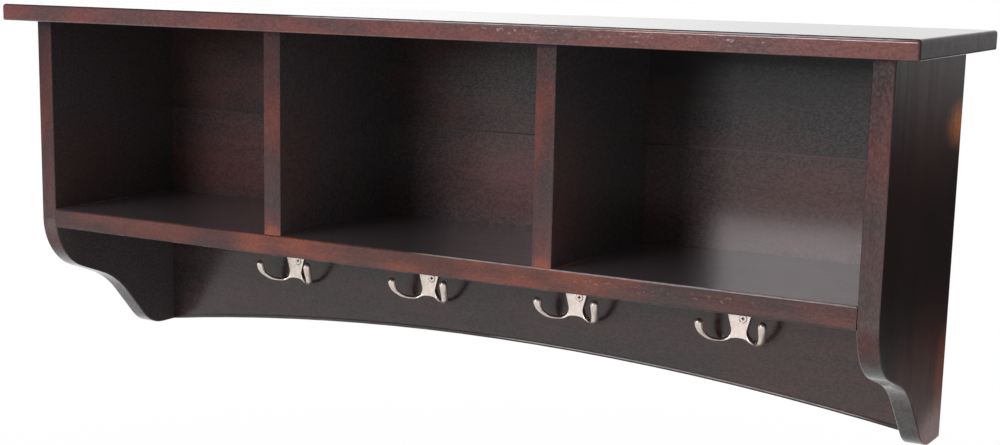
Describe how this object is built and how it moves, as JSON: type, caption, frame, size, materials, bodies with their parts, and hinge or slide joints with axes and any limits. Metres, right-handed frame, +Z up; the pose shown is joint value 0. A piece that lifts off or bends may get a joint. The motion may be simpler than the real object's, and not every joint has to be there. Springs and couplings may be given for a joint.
{
  "type": "wall coat rack",
  "caption": "Wall-hung coat rack: an overhanging top over open cubbies, ogee-shaped side brackets, and a row of double coat hooks on the back board below an arch-cut edge.",
  "frame": {"origin": "on the wall plane at mid-width, level with the seats of the two keyhole slots", "axes": "+X along the rack to the right of someone who faces it, +Y into the wall, +Z up"},
  "size_m": [0.914, 0.212, 0.348],
  "materials": {
    "dark_wood": "satin lacquer over a dark espresso stain",
    "dowel_wood": "plain birch",
    "hook_metal": "satin nickel",
    "zinc_steel": "zinc-plated"
  },
  "bodies": {
    "root": {"top_board": "dark_wood", "left_side": "dark_wood", "right_side": "dark_wood", "left_divider": "dark_wood", "right_divider": "dark_wood", "shelf": "dark_wood", "upper_back_board": "dark_wood", "lower_back_board": "dark_wood", "hook_screws": "hook_metal", "side_top_dowels": "dowel_wood", "divider_dowels": "dowel_wood", "shelf_dowels": "dowel_wood", "back_pins": "zinc_steel", "left_keyhole_plate": "zinc_steel", "right_keyhole_plate": "zinc_steel", "keyhole_screws": "zinc_steel", "hook_1": "hook_metal", "hook_2": "hook_metal", "hook_3": "hook_metal", "hook_4": "hook_metal"}
  },
  "joints": []
}
